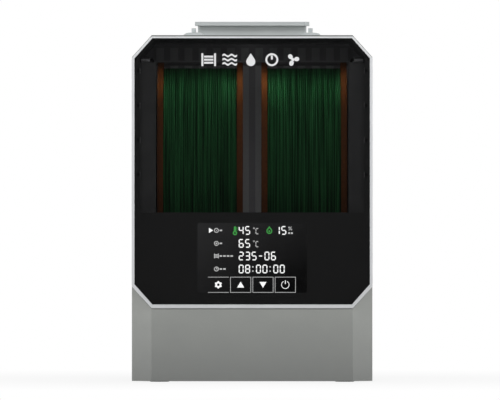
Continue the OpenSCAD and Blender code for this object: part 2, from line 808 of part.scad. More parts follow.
module sensor_cover() {
    y1 = chamber_rear_y - rib_t;
    color(black) translate([0, y1, sensor_z]) difference() {
        span([-11, -7, -10], [11, 0, 10]);
        span([-9.4, -5.4, -8.4], [9.4, 1, 8.4]);
        for (i = [-2 : 2]) span([-7, -8, i * 3.2 - 0.7], [7, -4, i * 3.2 + 0.7]);
    }
}

// Desiccant boxes in front of the lower part of each spool, open at the top under their lids.
desiccant_lo = [12, -107, 78];
desiccant_hi = [84, -72, 101];

module desiccant_boxes() {
    w = 1.5;
    color(white) both_sides() difference() {
        span(desiccant_lo + [0, 0, fit], desiccant_hi);
        span(desiccant_lo + [w, w, w + fit], desiccant_hi + [-w, -w, 1]);
    }
}

module desiccant_box_lids() {
    lo = [desiccant_lo.x, desiccant_lo.y, desiccant_hi.z];
    color(white) both_sides() difference() {
        union() {
            span(lo, desiccant_hi + [0, 0, 1.6]);
            span(lo + [1.7, 1.7, -1.5], desiccant_hi + [-1.7, -1.7, 0]);
        }
        for (i = [0 : 8], j = [0 : 3])
            translate([lo.x + 8 + i * 7, lo.y + 7 + j * 7, 0]) span([-2, -2, 90], [2, 2, 110]);
    }
}

module lid_cover() {
    outer = lid_section(lid_z);
    open_below = lid_section(lid_z - 30);
    color(shell_grey) difference() {
        union() {
            difference() {
                along_y(lid_front_y, rear_y) polygon(outer);
                along_y(lid_front_y - 1, rear_y - lid_t) polygon(inset(open_below, lid_t));
            }
            for (x = [-hinge_x, hinge_x]) along_x(x - lug_w / 2, x + lug_w / 2) lug_profile();
        }
        for (x = [-hinge_x, hinge_x])
            along_x(x - 20, x + 20) translate([hinge_y, hinge_z]) circle(hinge_pin_r + 0.05);
        for (x = [-outlet_x, outlet_x]) translate([x, outlet_y, body_h - 10]) cylinder(r = 5.1, h = 20);
        for (x = [-handle_screw_x, handle_screw_x])
            translate([x, handle_y, body_h - 10]) cylinder(r = 2.2, h = 20);
    }
}

// Black inner skin of the lid, with a flange for the seal and ribs that line up with the rear panel's.
module lid_liner() {
    open_below = lid_section(lid_z - 30);
    skin_out = inset(open_below, lid_t + fit);
    skin_in = inset(open_below, lid_t + fit + liner_t);
    y0 = lid_front_y + fit;
    y1 = rear_y - lid_t - fit;
    z0 = lid_z + 0.5;
    color(black) difference() {
        union() {
            intersection() {
                union() {
                    along_y(y0, y1) difference() {
                        polygon(skin_out);
                        polygon(skin_in);
                    }
                    along_y(y1 - liner_t, y1) polygon(skin_out);
                    along_y(y0, y0 + liner_t) difference() {
                        polygon(skin_out);
                        polygon(inset(open_below, lid_t + fit + liner_t + 4));
                    }
                }
                span([-half_w, front_y, z0], [half_w, back_y, body_h]);
            }
            both_sides() span([side_x + 0.5, y0, z0], [inner_x - 1, y1, z0 + liner_t]);
            span([-side_x - 1, chamber_rear_y - 1, z0], [side_x + 1, y1, z0 + liner_t]);
            for (s = [-1, 1], i = [0 : ribs_a_side - 1])
                translate([s * (i + 0.5) * rib_pitch, 0, 0])
                    span([-rib_w / 2, y1 - liner_t - rib_t, z0 + liner_t],
                        [rib_w / 2, y1 - liner_t, body_h - 8]);
        }
        for (x = [-outlet_x, outlet_x]) translate([x, outlet_y, body_h - 12]) cylinder(r = 8.2, h = 20);
        for (x = [-handle_screw_x, handle_screw_x])
            translate([x, handle_y, body_h - 12]) cylinder(r = 4.6, h = 20);
    }
}

// Soft seal: strips along the sides and back, and an arch between the lid and the trim.
module lid_gasket() {
    z0 = chamber_top_z + fit;
    z1 = lid_z + 0.5;
    y0 = lid_front_y + fit;
    color(dark) {
        both_sides() span([side_x + 2, y0, z0], [side_x + 10, chamber_rear_y + 4, z1]);
        span([-side_x - 2, chamber_rear_y, z0], [side_x + 2, chamber_rear_y + 4, z1]);
        along_y(trim_back_y + 0.1, lid_front_y) difference() {
            polygon(inset(lid_section(lid_z), 1));
            polygon(inset(lid_section(lid_z - 30), 3.4));
        }
    }
}

// T-shaped pull across the lid: a cap with cut corners on a narrower web.
module handle() {
    cap_t = 3.5;
    cap_cut = 3.6;
    web_w = handle_w - 5.2;
    web_d = 10;
    web_cut = 1.4;
    color(shell_grey) difference() {
        union() {
            translate([0, handle_y, body_h + handle_h - cap_t]) linear_extrude(cap_t)
                polygon(cut_box(handle_w / 2, -handle_d / 2, handle_d / 2, cap_cut, cap_cut));
            translate([0, handle_y, body_h]) linear_extrude(handle_h - cap_t + 0.1)
                polygon(cut_box(web_w / 2, -web_d / 2, web_d / 2, web_cut, web_cut));
        }
        for (x = [-handle_screw_x, handle_screw_x])
            translate([x, handle_y, body_h - 1]) cylinder(r = 1.9, h = 9);
    }
}

module handle_screws() {
    color(steel) for (x = [-handle_screw_x, handle_screw_x])
        translate([x, handle_y, body_h - lid_t]) rotate([180, 0, 0]) screw(1.9, 9, 3.8, 2.4);
}

// Rubber bushes in the lid that the outlet tubes pass through.
module outlet_grommets() {
    tube_r = 2;
    under = -lid_t;
    color(dark) for (x = [-outlet_x, outlet_x]) translate([x, outlet_y, body_h])
        rotate_extrude($fn = 64) polygon([
            [tube_r, under - 2.4], [6.4, under - 2.4], [7, under], [5.1, under], [5.1, 0],
            [8.9, 0], [8.9, 0.8], [7.8, 2.1], [6, 2.8], [4.2, 2.7], [3.4, 1.8], [tube_r, 1.8]
        ]);
}

module ptfe_tubes() {
    color(white) for (x = [-outlet_x, outlet_x])
        translate([x, outlet_y, 0]) ring(2, 1, body_h - 7, body_h + 6.6);
}

module hinge_pins() {
    color(steel) for (x = [-hinge_x, hinge_x])
        along_x(x - lug_w / 2 - 0.3 - knuckle_w, x + lug_w / 2 + 0.3 + knuckle_w)
            translate([hinge_y, hinge_z]) circle(hinge_pin_r);
}

main_housing();
rear_panel();
bottom_cover();
rubber_feet();
case_screws();
front_frame();
front_panel();
panel_mask();
panel_screws();
lcd_glass();
lcd_backlight();
display_board();
chamber_floor();
chamber_rear_panel();
chamber_side_left();
chamber_side_right();
chamber_front_wall();
side_roller_brackets();
centre_roller_bracket();
roller_bearings();
roller_sleeve(-1, -1);  // roller_front_left_sleeve
roller_axle(-1, -1);  // roller_front_left_axle
roller_sleeve(-1, 1);  // roller_rear_left_sleeve
roller_axle(-1, 1);  // roller_rear_left_axle
roller_sleeve(1, -1);  // roller_front_right_sleeve
roller_axle(1, -1);  // roller_front_right_axle
roller_sleeve(1, 1);  // roller_rear_right_sleeve
roller_axle(1, 1);  // roller_rear_right_axle
spool_core(-1);  // spool_left_core
spool_filament(-1);  // spool_left_filament
spool_core(1);  // spool_right_core
spool_filament(1);  // spool_right_filament
fan_frame();
fan_impeller();
fan_screws();
ptc_heater();
heater_duct();
air_plenum();
power_supply_board();
power_supply_parts();
main_board();
main_board_parts();
ac_inlet();
ac_inlet_pins();
switch_housing();
switch_rocker();
mains_wires();
display_ribbon();
humidity_sensor();
sensor_cover();
desiccant_boxes();
desiccant_box_lids();
lid_cover();
lid_liner();
lid_gasket();
handle();
handle_screws();
outlet_grommets();
ptfe_tubes();
hinge_pins();
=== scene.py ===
# Looks of a two-spool filament dryer box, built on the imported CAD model.
# Lengths are in metres: +Z is up, the window faces -Y, and the origin is on the table under the box.
import json
import math
import random

import bmesh
import bpy
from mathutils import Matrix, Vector


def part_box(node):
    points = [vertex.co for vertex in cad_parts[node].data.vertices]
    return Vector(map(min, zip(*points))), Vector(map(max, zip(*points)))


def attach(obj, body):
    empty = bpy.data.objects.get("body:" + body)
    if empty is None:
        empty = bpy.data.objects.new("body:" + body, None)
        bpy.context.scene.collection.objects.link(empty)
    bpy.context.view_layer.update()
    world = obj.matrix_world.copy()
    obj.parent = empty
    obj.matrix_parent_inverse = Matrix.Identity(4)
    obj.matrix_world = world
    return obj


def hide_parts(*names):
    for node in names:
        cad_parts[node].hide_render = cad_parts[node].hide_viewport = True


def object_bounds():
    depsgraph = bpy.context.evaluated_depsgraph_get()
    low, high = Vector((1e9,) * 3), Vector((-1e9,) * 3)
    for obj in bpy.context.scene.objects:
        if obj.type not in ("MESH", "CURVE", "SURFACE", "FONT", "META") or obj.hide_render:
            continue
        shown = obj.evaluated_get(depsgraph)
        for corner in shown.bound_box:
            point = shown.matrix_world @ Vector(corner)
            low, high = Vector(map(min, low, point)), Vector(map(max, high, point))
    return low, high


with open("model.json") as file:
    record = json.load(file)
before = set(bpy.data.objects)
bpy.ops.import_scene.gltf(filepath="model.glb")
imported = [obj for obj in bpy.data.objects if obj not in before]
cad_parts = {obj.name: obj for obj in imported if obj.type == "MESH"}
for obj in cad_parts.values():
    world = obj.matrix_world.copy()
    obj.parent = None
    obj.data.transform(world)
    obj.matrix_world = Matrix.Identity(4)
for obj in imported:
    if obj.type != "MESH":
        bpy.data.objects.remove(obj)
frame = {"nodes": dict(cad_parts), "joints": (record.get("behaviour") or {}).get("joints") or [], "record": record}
cad_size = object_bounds()
NODES = frame["nodes"]
MM = 0.001


# ---------------------------------------------------------------- materials

class Paint:
    """A Principled material whose layers are worked out in object space, which is the row frame."""

    def __init__(self, name, **sockets):
        self.material = bpy.data.materials.new(name)
        self.material.use_nodes = True
        self.tree = self.material.node_tree
        self.shader = self.tree.nodes["Principled BSDF"]
        for socket, value in sockets.items():
            self.set(socket.replace("_", " "), value)
        self.where = self.add("ShaderNodeTexCoord").outputs["Object"]
        self.height = None

    def add(self, kind, inputs=None, **properties):
        """Adds a node. An input is a plain value, or a socket to link to."""
        node = self.tree.nodes.new(kind)
        for key, value in properties.items():
            setattr(node, key, value)
        for key, value in (inputs or {}).items():
            if isinstance(value, bpy.types.NodeSocket):
                self.tree.links.new(value, node.inputs[key])
            else:
                node.inputs[key].default_value = value
        return node

    def set(self, socket, value):
        """Gives one of the shader's inputs a plain value, or links it to a socket."""
        if isinstance(value, bpy.types.NodeSocket):
            self.tree.links.new(value, self.shader.inputs[socket])
            return
        if hasattr(value, "__len__") and len(value) == 3:
            value = (*value, 1.0)
        self.shader.inputs[socket].default_value = value

    def scaled(self, per_metre):
        """Object coordinates stretched by a factor for each axis."""
        return self.add("ShaderNodeMapping", {"Vector": self.where, "Scale": per_metre}).outputs["Vector"]

    def noise(self, size, detail=2.0, along=(1, 1, 1), distortion=0.0):
        """Noise from 0 to 1 with features of this size, drawn out by the factors in along."""
        vector = self.scaled([1 / (size * a) for a in along])
        inputs = {"Vector": vector, "Scale": 1.0, "Detail": detail, "Distortion": distortion}
        return self.add("ShaderNodeTexNoise", inputs).outputs["Fac"]

    def cells(self, size):
        """Voronoi distance with cells of this size."""
        inputs = {"Vector": self.scaled([1 / size] * 3), "Scale": 1.0}
        return self.add("ShaderNodeTexVoronoi", inputs).outputs["Distance"]

    def waves(self, size, distortion=0.0):
        """Bands one size wide along X. A wave of scale 1 repeats every pi / 10."""
        inputs = {"Vector": self.scaled([1 / size] * 3), "Scale": math.pi / 10,
                  "Distortion": distortion, "Detail": 1.0}
        return self.add("ShaderNodeTexWave", inputs, bands_direction="X").outputs["Fac"]

    def axis(self, letter):
        """One object coordinate."""
        return self.add("ShaderNodeSeparateXYZ", {"Vector": self.where}).outputs[letter]

    def spread(self, value, start, end, low=0.0, high=1.0):
        """Maps value from start..end to low..high, and holds it at the ends."""
        inputs = {"Value": value, "From Min": start, "From Max": end, "To Min": low, "To Max": high}
        return self.add("ShaderNodeMapRange", inputs, clamp=True).outputs["Result"]

    def math(self, operation, a, b):
        """The result of one arithmetic step on two values."""
        return self.add("ShaderNodeMath", {0: a, 1: b}, operation=operation).outputs[0]

    def mix(self, factor, a, b):
        """Colour a where factor is 0, b where it is 1."""
        node = self.add("ShaderNodeMix", data_type="RGBA")
        for index, value in ((0, factor), (6, a), (7, b)):
            if isinstance(value, bpy.types.NodeSocket):
                self.tree.links.new(value, node.inputs[index])
            else:
                node.inputs[index].default_value = (*value, 1.0) if index else value
        return node.outputs[2]

    def colour(self, factor, a, b):
        """Makes the base colour a where factor is 0, b where it is 1."""
        result = self.mix(factor, a, b)
        self.set("Base Color", result)
        return result

    def roughness(self, factor, low, high):
        """Makes the roughness go from low to high over the middle of the factor's range."""
        self.set("Roughness", self.spread(factor, 0.3, 0.7, low, high))

    def bump(self, height, depth, strength=1.0):
        """Adds relief of this depth on top of any that is already there."""
        inputs = {"Height": height, "Distance": depth, "Strength": strength}
        if self.height is not None:
            inputs["Normal"] = self.height
        self.height = self.add("ShaderNodeBump", inputs).outputs["Normal"]
        self.set("Normal", self.height)


def moulded_paint(name, dark, light, rough=(0.42, 0.55), grain=0.5 * MM, depth=0.02 * MM, **sockets):
    """Moulded or painted surface: faint cloudy colour, a fine grain, and a trace of wear in its gloss."""
    p = Paint(name, **sockets)
    cloud = p.noise(22 * MM, 3.0)
    speck = p.noise(grain, 2.0)
    both = p.math("ADD", p.math("MULTIPLY", cloud, 0.6), p.math("MULTIPLY", speck, 0.4))
    colour = p.colour(p.spread(both, 0.35, 0.65), dark, light)
    p.roughness(p.noise(9 * MM, 4.0), *rough)
    p.bump(speck, depth)
    return p, colour


def moulded(*args, **sockets):
    """The material alone of a moulded or painted surface."""
    return moulded_paint(*args, **sockets)[0].material


def shell_paint_and_painted_shade():
    """The shell's grey, with painted shade that makes it a little darker towards the table, and a painted shadow
    on the lid's front lip.
    """
    p, colour = moulded_paint("shell_grey", (0.340, 0.351, 0.331), (0.367, 0.376, 0.353), (0.40, 0.50))
    lip_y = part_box("lid_cover")[0].y
    lip_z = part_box("front_frame")[1].z
    # Painted shade: the grey darkens over the lowest 70 mm towards the table.
    low = p.mix(p.spread(p.axis("Z"), 0.0, 70 * MM), (0.275, 0.283, 0.271), colour)
    # Painted shadow: the lid's front lip, just above the trim, is painted nearly black.
    behind = p.spread(p.axis("Y"), lip_y + 0.3 * MM, lip_y + 0.6 * MM)
    below = p.spread(p.axis("Z"), lip_z - 0.3 * MM, lip_z, 1.0, 0.0)
    p.set("Base Color", p.mix(p.math("MAXIMUM", behind, below), (0.14, 0.15, 0.14), low))
    return p.material


def metal(name, dark, light, rough=(0.22, 0.38), along=(1, 12, 12), **sockets):
    """Bright metal with fine drawing lines."""
    p = Paint(name, Metallic=1.0, **sockets)
    lines = p.noise(0.5 * MM, 3.0, along)
    p.colour(p.spread(p.noise(6 * MM, 3.0), 0.3, 0.7), dark, light)
    p.roughness(lines, *rough)
    p.bump(lines, 0.008 * MM)
    return p.material


def smoked_sheet():
    """Tinted sheet that shows the chamber behind it, with faint smears in its polish."""
    p = Paint("smoked_panel", Alpha=SMOKE_ALPHA, Specular_IOR_Level=0.25)
    p.colour(p.noise(40 * MM), (0.002, 0.002, 0.002), (0.003, 0.003, 0.003))
    p.roughness(p.noise(30 * MM, 4.0, (1, 1, 3)), 0.02, 0.05)
    return p.material


def ribbed_wall_with_painted_light(name, rib_y, valley_y, before=None):
    """Grey ribbed wall with painted light: the ribs are painted paler than the valleys between them. Before, if
    given, is a painted shade given to the parts in front of it.
    """
    p = Paint(name, Specular_IOR_Level=0.3)
    cloud = p.noise(22 * MM, 3.0)
    depth = p.axis("Y")
    # Painted light and shade: paler ribs, darker valleys.
    painted_lit_rib = p.mix(cloud, (0.38, 0.38, 0.39), (0.42, 0.42, 0.43))
    wall = p.mix(p.spread(depth, rib_y + 0.3 * MM, valley_y - 0.3 * MM), painted_lit_rib, (0.27, 0.27, 0.28))
    # Painted shade: parts in front of the ribs take the dark colour before.
    if before:
        wall = p.mix(p.spread(depth, rib_y - 4.6 * MM, rib_y - 4.3 * MM), before, wall)
    p.set("Base Color", wall)
    p.roughness(p.noise(9 * MM, 4.0), 0.5, 0.65)
    p.bump(p.noise(0.5 * MM, 2.0), 0.02 * MM)
    return p.material


def black_print():
    """Satin black ink behind the window, with hardly any gloss of its own."""
    p = Paint("black_print", Specular_IOR_Level=0.12)
    p.colour(p.noise(15 * MM, 3.0), (0.024, 0.024, 0.024), (0.027, 0.027, 0.027))
    p.roughness(p.noise(1 * MM), 0.4, 0.5)
    return p.material


def display_face_with_painted_glow():
    """Dark display whose backlight glows faintly, with painted light that makes the glow and the colour stronger
    towards the upper left.
    """
    lo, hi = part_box("lcd_glass")
    p = Paint("display_face_with_painted_glow", Specular_IOR_Level=0.1, Emission_Strength=0.0309)
    # Painted light: glow and colour rise towards the upper left.
    right = p.spread(p.axis("X"), lo.x, hi.x)
    up = p.spread(p.axis("Z"), lo.z, hi.z)
    glow = p.math("MULTIPLY", p.math("ADD", p.math("SUBTRACT", 1.0, right), up), 0.5)
    cloudy = p.math("ADD", p.math("MULTIPLY", p.noise(25 * MM), 0.12), glow)
    p.set("Emission Color", p.mix(p.spread(cloudy, 0.2, 1.0), (0.0, 0.0, 0.0), (0.971, 0.971, 1.0)))
    p.colour(glow, (0.003, 0.003, 0.003), (0.008, 0.008, 0.008))
    p.roughness(p.noise(8 * MM), 0.15, 0.25)
    return p.material


def lit(name, colour, strength):
    """Lit figures on the display, a little uneven across each one."""
    p = Paint(name, Emission_Strength=strength, Roughness=0.5)
    uneven = p.noise(2.5 * MM)
    p.set("Emission Color", p.mix(p.spread(uneven, 0.3, 0.7), [c * 0.86 for c in colour], colour))
    p.colour(uneven, [c * 0.5 for c in colour], [c * 0.6 for c in colour])
    return p.material


def pressed_card():
    """Pressed card: fibres and flecks on the faces, plies along the rim."""
    p = Paint("card", Specular_IOR_Level=0.25)
    fibres = p.noise(1.6 * MM, 5.0, (1, 3, 1), 0.4)
    plies = p.waves(0.9 * MM, 0.6)
    flecks = p.spread(p.cells(2.2 * MM), 0.0, 0.16)
    base = p.mix(p.spread(fibres, 0.3, 0.7), (0.084, 0.024, 0.005), (0.136, 0.044, 0.010))
    p.set("Base Color", p.mix(flecks, (0.06, 0.018, 0.005), base))
    p.roughness(fibres, 0.75, 0.92)
    p.bump(fibres, 0.06 * MM)
    p.bump(plies, 0.05 * MM, 0.6)
    return p.material


def wound_thread():
    """Green thread: each turn has its own shade, with slow changes round the spool."""
    p = Paint("green_filament", Specular_IOR_Level=0.05)
    turn = p.noise(1.1 * MM, 1.0, (1, 90, 90))
    band = p.noise(13 * MM, 2.0, (1, 8, 8))
    shade = p.math("ADD", p.math("MULTIPLY", turn, 0.92), p.math("MULTIPLY", band, 0.08))
    p.colour(p.spread(shade, 0.36, 0.66), (0.003, 0.024, 0.007), (0.031, 0.156, 0.052))
    p.roughness(p.noise(4 * MM, 3.0), 0.6, 0.75)
    p.bump(p.noise(0.35 * MM, 2.0, (1, 6, 6)), 0.01 * MM)
    return p.material


def circuit_board():
    """Lacquered board with copper tracks showing through as paler lines."""
    p = Paint("circuit_board", Specular_IOR_Level=0.5)
    inputs = {"Vector": p.scaled([1 / (3 * MM)] * 3), "Scale": 1.0, "Mortar Size": 0.12, "Bias": -0.2,
              "Color1": (0, 0, 0, 1), "Color2": (0, 0, 0, 1), "Mortar": (1, 1, 1, 1)}
    tracks = p.add("ShaderNodeTexBrick", inputs).outputs["Color"]
    cloud = p.noise(8 * MM, 3.0)
    board = p.mix(cloud, (0.006, 0.075, 0.030), (0.010, 0.105, 0.045))
    p.colour(p.spread(tracks, 0.4, 0.6, 0.0, 0.75), board, (0.03, 0.20, 0.08))
    p.roughness(cloud, 0.22, 0.36)
    p.bump(tracks, 0.03 * MM)
    return p.material


def flat_cable():
    """Flat cable: side-by-side conductors under a pale cover."""
    p = Paint("flat_cable")
    wires = p.waves(1.0 * MM)
    p.colour(p.spread(wires, 0.2, 0.8), (0.40, 0.40, 0.39), (0.66, 0.66, 0.64))
    p.roughness(p.noise(4 * MM), 0.4, 0.5)
    p.bump(wires, 0.15 * MM)
    return p.material


def rubber(name, dark, light):
    """Dull rubber or silicone with a fine grain."""
    p = Paint(name, Specular_IOR_Level=0.3)
    speck = p.noise(0.35 * MM, 2.0)
    p.colour(p.noise(7 * MM, 3.0), dark, light)
    p.roughness(speck, 0.68, 0.85)
    p.bump(speck, 0.03 * MM)
    return p.material


SMOKE_ALPHA = 0.26          # how much of what is behind the window its tint hides
RIB_DEPTH = 1.2 * MM
LINER_WALL = 1.6 * MM
REAR_RIB_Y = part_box("chamber_rear_panel")[0].y
LINER_RIB_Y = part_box("lid_liner")[1].y - LINER_WALL - RIB_DEPTH

MATERIALS = {
    "shell_grey": shell_paint_and_painted_shade(),
    "handle_grey": moulded("handle_grey", (0.53, 0.56, 0.56), (0.57, 0.60, 0.60), (0.44, 0.54),
                          Specular_IOR_Level=0.25),
    "trim_silver": moulded("trim_silver", (0.70, 0.71, 0.72), (0.75, 0.76, 0.77), (0.42, 0.52), 0.3 * MM,
                           0.01 * MM, Metallic=0.05, Specular_IOR_Level=0.25),
    "smoked_panel": smoked_sheet(),
    "black_print": black_print(),
    "display_glass": display_face_with_painted_glow(),
    "backlight": moulded("backlight", (0.78, 0.79, 0.79), (0.84, 0.85, 0.85)),
    "circuit_board": circuit_board(),
    "board_parts": moulded("board_parts", (0.022, 0.022, 0.024), (0.045, 0.045, 0.048), (0.35, 0.5)),
    "black_plastic": moulded("black_plastic", (0.016, 0.016, 0.017), (0.022, 0.022, 0.023), (0.45, 0.6)),
    "chamber_grey": ribbed_wall_with_painted_light("chamber_grey", REAR_RIB_Y, REAR_RIB_Y + RIB_DEPTH),
    # The lining in front of its ribs is painted nearly black as shade.
    "lid_lining": ribbed_wall_with_painted_light("lid_lining", LINER_RIB_Y, LINER_RIB_Y + RIB_DEPTH, (0.019, 0.019, 0.020)),
    "black_screws": moulded("black_screws", (0.002, 0.002, 0.002), (0.004, 0.004, 0.004), (0.55, 0.65),
                            Specular_IOR_Level=0.1),
    "rubber": rubber("rubber", (0.012, 0.012, 0.012), (0.020, 0.020, 0.020)),
    "grey_silicone": rubber("grey_silicone", (0.17, 0.17, 0.175), (0.21, 0.21, 0.215)),
    "roller_rubber": rubber("roller_rubber", (0.020, 0.020, 0.021), (0.032, 0.032, 0.033)),
    "steel": metal("steel", (0.52, 0.53, 0.54), (0.66, 0.67, 0.68)),
    "card": pressed_card(),
    "green_filament": wound_thread(),
    "heater_fins": metal("heater_fins", (0.68, 0.69, 0.70), (0.78, 0.79, 0.80), (0.3, 0.45), (12, 12, 1)),
    "wire_cover": moulded("wire_cover", (0.13, 0.05, 0.025), (0.17, 0.068, 0.032), (0.35, 0.45)),
    "flat_cable": flat_cable(),
    "white_plastic": moulded("white_plastic", (0.66, 0.67, 0.65), (0.74, 0.75, 0.73), (0.4, 0.5)),
    "ptfe": moulded("ptfe", (0.52, 0.54, 0.54), (0.60, 0.62, 0.62), (0.3, 0.4), Subsurface_Weight=0.1),
}


def dress_cad_nodes():
    """Every CAD node takes the finish of its slot in the record."""
    for row in frame["record"]["subparts"]:
        mesh = NODES[row["node"]].data
        mesh.materials.clear()
        mesh.materials.append(MATERIALS[row["material_slot"]])


def soften_edges(names, width, segments=2):
    """Rounds the sharp edges of CAD nodes so that they catch the light.

    Flat faces are put back into one piece first, so that the bevel meets no seams between triangles.
    """
    for name in names:
        weld = NODES[name].modifiers.new("weld", "WELD")
        weld.merge_threshold = 0.001 * MM
        flat = NODES[name].modifiers.new("flat", "DECIMATE")
        flat.decimate_type = "DISSOLVE"
        flat.angle_limit = math.radians(0.5)
        bevel = NODES[name].modifiers.new("bevel", "BEVEL")
        bevel.width = width
        bevel.segments = segments
        bevel.limit_method = "ANGLE"
        bevel.angle_limit = math.radians(34)
        bevel.harden_normals = True


def thin_print():
    """The print lies on the back of the sheet. Drawn a hair thinner, it doesn't share a face with it."""
    thinned = NODES["panel_mask"].modifiers.new("thinned", "DISPLACE")
    thinned.mid_level = 0.0
    thinned.strength = -0.03 * MM


# ---------------------------------------------------------------- mesh helpers

class Solid:
    """Collects closed shapes and turns them into one piece."""

    def __init__(self):
        self.points = []
        self.faces = []

    def loop(self, points):
        """Adds a closed loop of points, and returns their numbers."""
        start = len(self.points)
        self.points += [tuple(p) for p in points]
        return list(range(start, len(self.points)))

    def bridge(self, a, b):
        """Quads between two loops of equal length."""
        n = len(a)
        self.faces += [(a[i], a[(i + 1) % n], b[(i + 1) % n], b[i]) for i in range(n)]

    def skin(self, loops):
        """Joins each loop to the next, and closes both ends."""
        for a, b in zip(loops, loops[1:]):
            self.bridge(a, b)
        self.faces += [tuple(loops[0]), tuple(reversed(loops[-1]))]

    def ring(self, loops):
        """Joins each loop to the next, and the last one to the first."""
        for a, b in zip(loops, loops[1:] + loops[:1]):
            self.bridge(a, b)

    def turned(self, profile, centre, segments):
        """Loops for a profile of (radius, height) turned about a vertical axis through centre."""
        angles = [2 * math.pi * k / segments for k in range(segments)]
        return [self.loop((centre[0] + radius * math.cos(a), centre[1] + radius * math.sin(a),
                           centre[2] + height) for a in angles) for radius, height in profile]

    def tube(self, path, radius, sides=12):
        """A round tube along a smooth path, closed at both ends."""
        rings = []
        side = None
        for i, point in enumerate(path):
            ahead = (path[min(i + 1, len(path) - 1)] - path[max(i - 1, 0)]).normalized()
            if side is None:
                side = ahead.orthogonal().normalized()
            side = (side - ahead * side.dot(ahead)).normalized()
            up = ahead.cross(side)
            angles = [2 * math.pi * k / sides for k in range(sides)]
            rings.append(self.loop(point + radius * (side * math.cos(a) + up * math.sin(a)) for a in angles))
        self.skin(rings)

    def piece(self, name, material, body, slot, replaces=(), smooth=None):
        """Makes the object. smooth is the angle in degrees below which edges are shaded smooth."""
        mesh = bpy.data.meshes.new(name)
        mesh.from_pydata(self.points, [], self.faces)
        work = bmesh.new()
        work.from_mesh(mesh)
        bmesh.ops.recalc_face_normals(work, faces=work.faces)
        if smooth is not None:
            for face in work.faces:
                face.smooth = True
            for edge in work.edges:
                edge.smooth = edge.calc_face_angle(0) < math.radians(smooth)
        work.to_mesh(mesh)
        work.free()
        mesh.materials.append(material)
        obj = bpy.data.objects.new(name, mesh)
        bpy.context.scene.collection.objects.link(obj)
        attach(obj, body)
        if replaces:
            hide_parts(*replaces)


class Layer(Solid):
    """Flat shapes drawn in (x, z), all of them from y0 to y1."""

    def __init__(self, y0, y1):
        super().__init__()
        self.y0 = y0
        self.y1 = y1

    def shape(self, outline):
        self.skin([self.loop((x, y, z) for x, z in outline) for y in (self.y0, self.y1)])

    def band(self, outer, inner):
        """The band between two outlines of equal length."""
        corners = ((outer, self.y0), (outer, self.y1), (inner, self.y1), (inner, self.y0))
        self.ring([self.loop((x, y, z) for x, z in outline) for outline, y in corners])

    def bar(self, x, z, width, height):
        self.shape(rectangle(x, z, width, height))

    def disc(self, x, z, radius, count):
        self.shape(circle(x, z, radius, count))

    def hoop(self, x, z, outer, inner, count=32):
        self.band(circle(x, z, outer, count), circle(x, z, inner, count))


def smooth_path(points, steps=6):
    """Catmull-Rom curve through the points."""
    ends = [points[0] * 2 - points[1], *points, points[-1] * 2 - points[-2]]
    out = []
    for a, b, c, d in zip(ends, ends[1:], ends[2:], ends[3:]):
        for k in range(steps):
            t = k / steps
            out.append(0.5 * (b * 2 + (c - a) * t + (a * 2 - b * 5 + c * 4 - d) * t * t
                              + (b * 3 - a - c * 3 + d) * t ** 3))
    return [*out, points[-1]]


def circle(x, z, radius, count=32):
    """Outline of a circle centred on x, z."""
    angles = [2 * math.pi * k / count for k in range(count)]
    return [(x + radius * math.cos(a), z + radius * math.sin(a)) for a in angles]


def rectangle(x, z, width, height):
    """Outline of an upright rectangle centred on x, z."""
    return [(x - width / 2, z - height / 2), (x + width / 2, z - height / 2),
            (x + width / 2, z + height / 2), (x - width / 2, z + height / 2)]


def arc(x, z, radius, start, end, count=28):
    """Points along part of a circle, from start to end in degrees."""
    angles = [math.radians(start + (end - start) * k / count) for k in range(count + 1)]
    return [(x + radius * math.cos(a), z + radius * math.sin(a)) for a in angles]


def drop_outline(x, z, radius, tip):
    """A drop whose round end is centred on x, z and whose point is tip above it."""
    half_open = math.acos(radius / tip)
    start = math.pi / 2 + half_open
    angles = [start + (2 * math.pi - 2 * half_open) * k / 32 for k in range(33)]
    return [*[(x + radius * math.cos(a), z + radius * math.sin(a)) for a in angles], (x, z + tip)]


def wavy_band(x, z, length, swing, thickness, count=36):
    """A level wavy line of two full waves, centred on x, z."""
    steps = [(k / count - 0.5) * length for k in range(count + 1)]
    heights = [swing * math.sin(4 * math.pi * a / length) for a in steps]
    lower = [(x + a, z + h - thickness / 2) for a, h in zip(steps, heights)]
    upper = [(x + a, z + h + thickness / 2) for a, h in zip(steps, heights)]
    return lower + upper[::-1]


# ---------------------------------------------------------------- wound filament

TURN = 1.75 * MM            # thickness of the filament
TUBE_RADIUS = 52 * MM       # card tube under the winding


def turn_heights(outside, lift, wave):
    """One turn's section as (place across the turn, radius)."""
    top = outside - 0.16 * MM + 0.10 * MM * lift + 0.06 * MM * wave
    return [(t, top - TURN / 2 + TURN / 2 * math.sqrt(max(0.0, 1 - (2 * t - 1) ** 2)))
            for t in (0.0, 0.07, 0.22, 0.5, 0.78, 0.93)]


